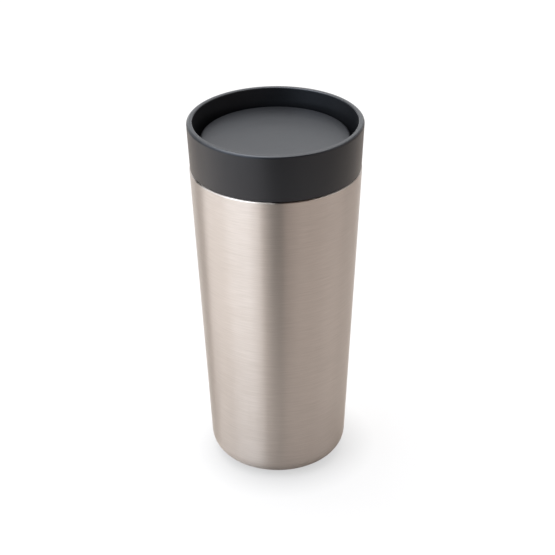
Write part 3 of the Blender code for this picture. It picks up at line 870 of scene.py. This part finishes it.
def seen_floor(look):
    """The floor as the camera sees it: almost white, with a faint real shadow from its diffuse part and a
    painted contact shadow where the mug stands close.
    """
    seen = look.add("ShaderNodeBsdfDiffuse")
    seen.inputs["Color"].default_value = (*FLOOR_SEEN_GREY, 1.0)
    glow = look.add("ShaderNodeEmission")
    glow.inputs["Color"].default_value = (*FLOOR_GLOW_TINT, 1.0)
    # painted shadow: ambient occlusion dims the glow close to the mug
    painted_shadow_mask = look.add("ShaderNodeAmbientOcclusion")
    painted_shadow_mask.inputs["Distance"].default_value = PAINTED_SHADOW_REACH
    painted_shadow_glow = look.add("ShaderNodeMapRange")
    painted_shadow_glow.inputs["To Min"].default_value = FLOOR_GLOW_IN_PAINTED_SHADOW
    painted_shadow_glow.inputs["To Max"].default_value = FLOOR_GLOW
    both = look.add("ShaderNodeAddShader")
    look.link(painted_shadow_mask.outputs["AO"], painted_shadow_glow.inputs["Value"])
    look.link(painted_shadow_glow.outputs["Result"], glow.inputs["Strength"])
    look.link(seen.outputs["BSDF"], both.inputs[0])
    look.link(glow.outputs["Emission"], both.inputs[1])
    return both.outputs["Shader"]


def floor():
    """A pale round floor, which camera rays see lighter and with less real shadow than the mug does, plus a
    painted contact shadow; the mug mirrors it with painted light and shade.
    """
    bm = bmesh.new()
    bmesh.ops.create_circle(bm, cap_ends=True, radius=FLOOR_RADIUS, segments=FLOOR_SIDES)
    obj = add_object("floor", finish_mesh(bm, "floor"))
    look = Nodes("floor_look")
    look.set(Roughness=0.9)
    painted_floor_shades(look)
    path = look.add("ShaderNodeLightPath")
    choose = look.add("ShaderNodeMixShader")
    look.link(path.outputs["Is Camera Ray"], choose.inputs["Fac"])
    look.link(look.shader.outputs["BSDF"], choose.inputs[1])
    look.link(seen_floor(look), choose.inputs[2])
    look.link(choose.outputs["Shader"], look.tree.nodes["Material Output"].inputs["Surface"])
    obj.data.materials.append(look.material)


def world():
    """White behind the mug, and no light from it."""
    made = bpy.data.worlds.new("studio")
    bpy.context.scene.world = made
    made.use_nodes = True
    tree = made.node_tree
    back = tree.nodes["Background"]
    back.inputs["Color"].default_value = (1.0, 1.0, 1.0, 1.0)
    path = tree.nodes.new("ShaderNodeLightPath")
    tree.links.new(path.outputs["Is Camera Ray"], back.inputs["Strength"])


def softbox(name, azimuth, elevation, width, height, brightness, colour):
    """A rectangular light that faces the mug, equally bright from wherever it's seen."""
    light = bpy.data.lights.new(name, "AREA")
    light.shape = "RECTANGLE"
    light.size = width
    light.size_y = height
    light.energy = brightness * math.pi * width * height
    light.color = colour
    lamp = bpy.data.objects.new(name, light)
    bpy.context.scene.collection.objects.link(lamp)
    turn, rise = math.radians(azimuth), math.radians(elevation)
    out = Vector((math.sin(turn) * math.cos(rise), -math.cos(turn) * math.cos(rise), math.sin(rise)))
    lamp.location = Vector((0.0, 0.0, AIM_Z)) + out * STUDIO_RADIUS
    lamp.rotation_euler = out.to_track_quat("Z", "Y").to_euler()
    lamp.visible_camera = False


def lights():
    """A ring of soft lights, and two that shine down from high up."""
    for name, settings in SOFTBOXES.items():
        softbox(name, *settings)


def camera():
    """The camera in front of the mug, looking down at its middle."""
    lens = bpy.data.cameras.new("camera")
    lens.lens = LENS_MM
    lens.sensor_width = SENSOR_MM
    view = bpy.data.objects.new("camera", lens)
    bpy.context.scene.collection.objects.link(view)
    across = CAMERA_DISTANCE * math.cos(CAMERA_ELEVATION)
    up = CAMERA_DISTANCE * math.sin(CAMERA_ELEVATION)
    view.location = (CAMERA_ASIDE, -across, AIM_Z + up)
    tilt = math.pi / 2 - CAMERA_ELEVATION + CAMERA_TILT_UP
    view.rotation_euler = (
        Matrix.Rotation(tilt, 4, "X") @ Matrix.Rotation(CAMERA_ROLL, 4, "Z")
    ).to_euler()
    bpy.context.scene.camera = view


# ---------------------------------------------------------------- assembly


def dress(obj, body, node, slot, looks):
    """Puts a piece in place of its CAD node, on its body and with its slot's look."""
    obj.data.materials.clear()
    obj.data.materials.append(looks[slot])
    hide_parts(node)
    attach(obj, body)


def keep_cad(node, slot, looks):
    """Shows a CAD node as it is, with its slot's look."""
    materials = frame["nodes"][node].data.materials
    materials.clear()
    materials.append(looks[slot])


def dress_cup(looks):
    dress(outer_shell(), "cup", "outer_shell", "brushed_steel", looks)
    dress(inner_liner(), "cup", "inner_liner", "bright_steel", looks)
    dress(foot_pad(), "cup", "foot_pad", "silicone", looks)
    keep_cad("bottom_plate", "bright_steel", looks)
    keep_cad("port_seal", "solder_glass", looks)
    keep_cad("getter", "getter_alloy", looks)
    keep_cad("foil_wrap", "copper_foil", looks)


def dress_lid(looks):
    dress(neck_seal(), "seal", "neck_seal", "silicone", looks)
    dress(collar(), "lid", "collar", "grey_plastic", looks)
    dress(lid_core(), "lid", "lid_core", "black_plastic", looks)
    keep_cad("valve_cage", "black_plastic", looks)
    keep_cad("guide_sleeve", "white_acetal", looks)
    keep_cad("stem_seal", "silicone", looks)


def dress_button(looks):
    dress(press_disc(), "button", "press_disc", "grey_plastic", looks)
    dress(stem(), "button", "stem", "bright_steel", looks)
    dress(valve_plate(), "button", "valve_plate", "black_plastic", looks)
    dress(valve_gasket(), "button", "valve_gasket", "silicone", looks)
    dress(valve_nut(), "button", "valve_nut", "black_plastic", looks)
    keep_cad("plunger", "white_acetal", looks)
    keep_cad("spring_washer", "bright_steel", looks)
    keep_cad("click_rotor", "white_acetal", looks)


def dress_spring(looks):
    """The spring stands on the lid."""
    spring = return_spring()
    dress(spring, "lid", "return_spring", "bright_steel", looks)
    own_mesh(spring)


def main():
    looks = make_looks()
    dress_cup(looks)
    dress_lid(looks)
    dress_button(looks)
    dress_spring(looks)
    bpy.context.scene.view_settings.view_transform = "Standard"
    floor()
    world()
    lights()
    camera()


main()
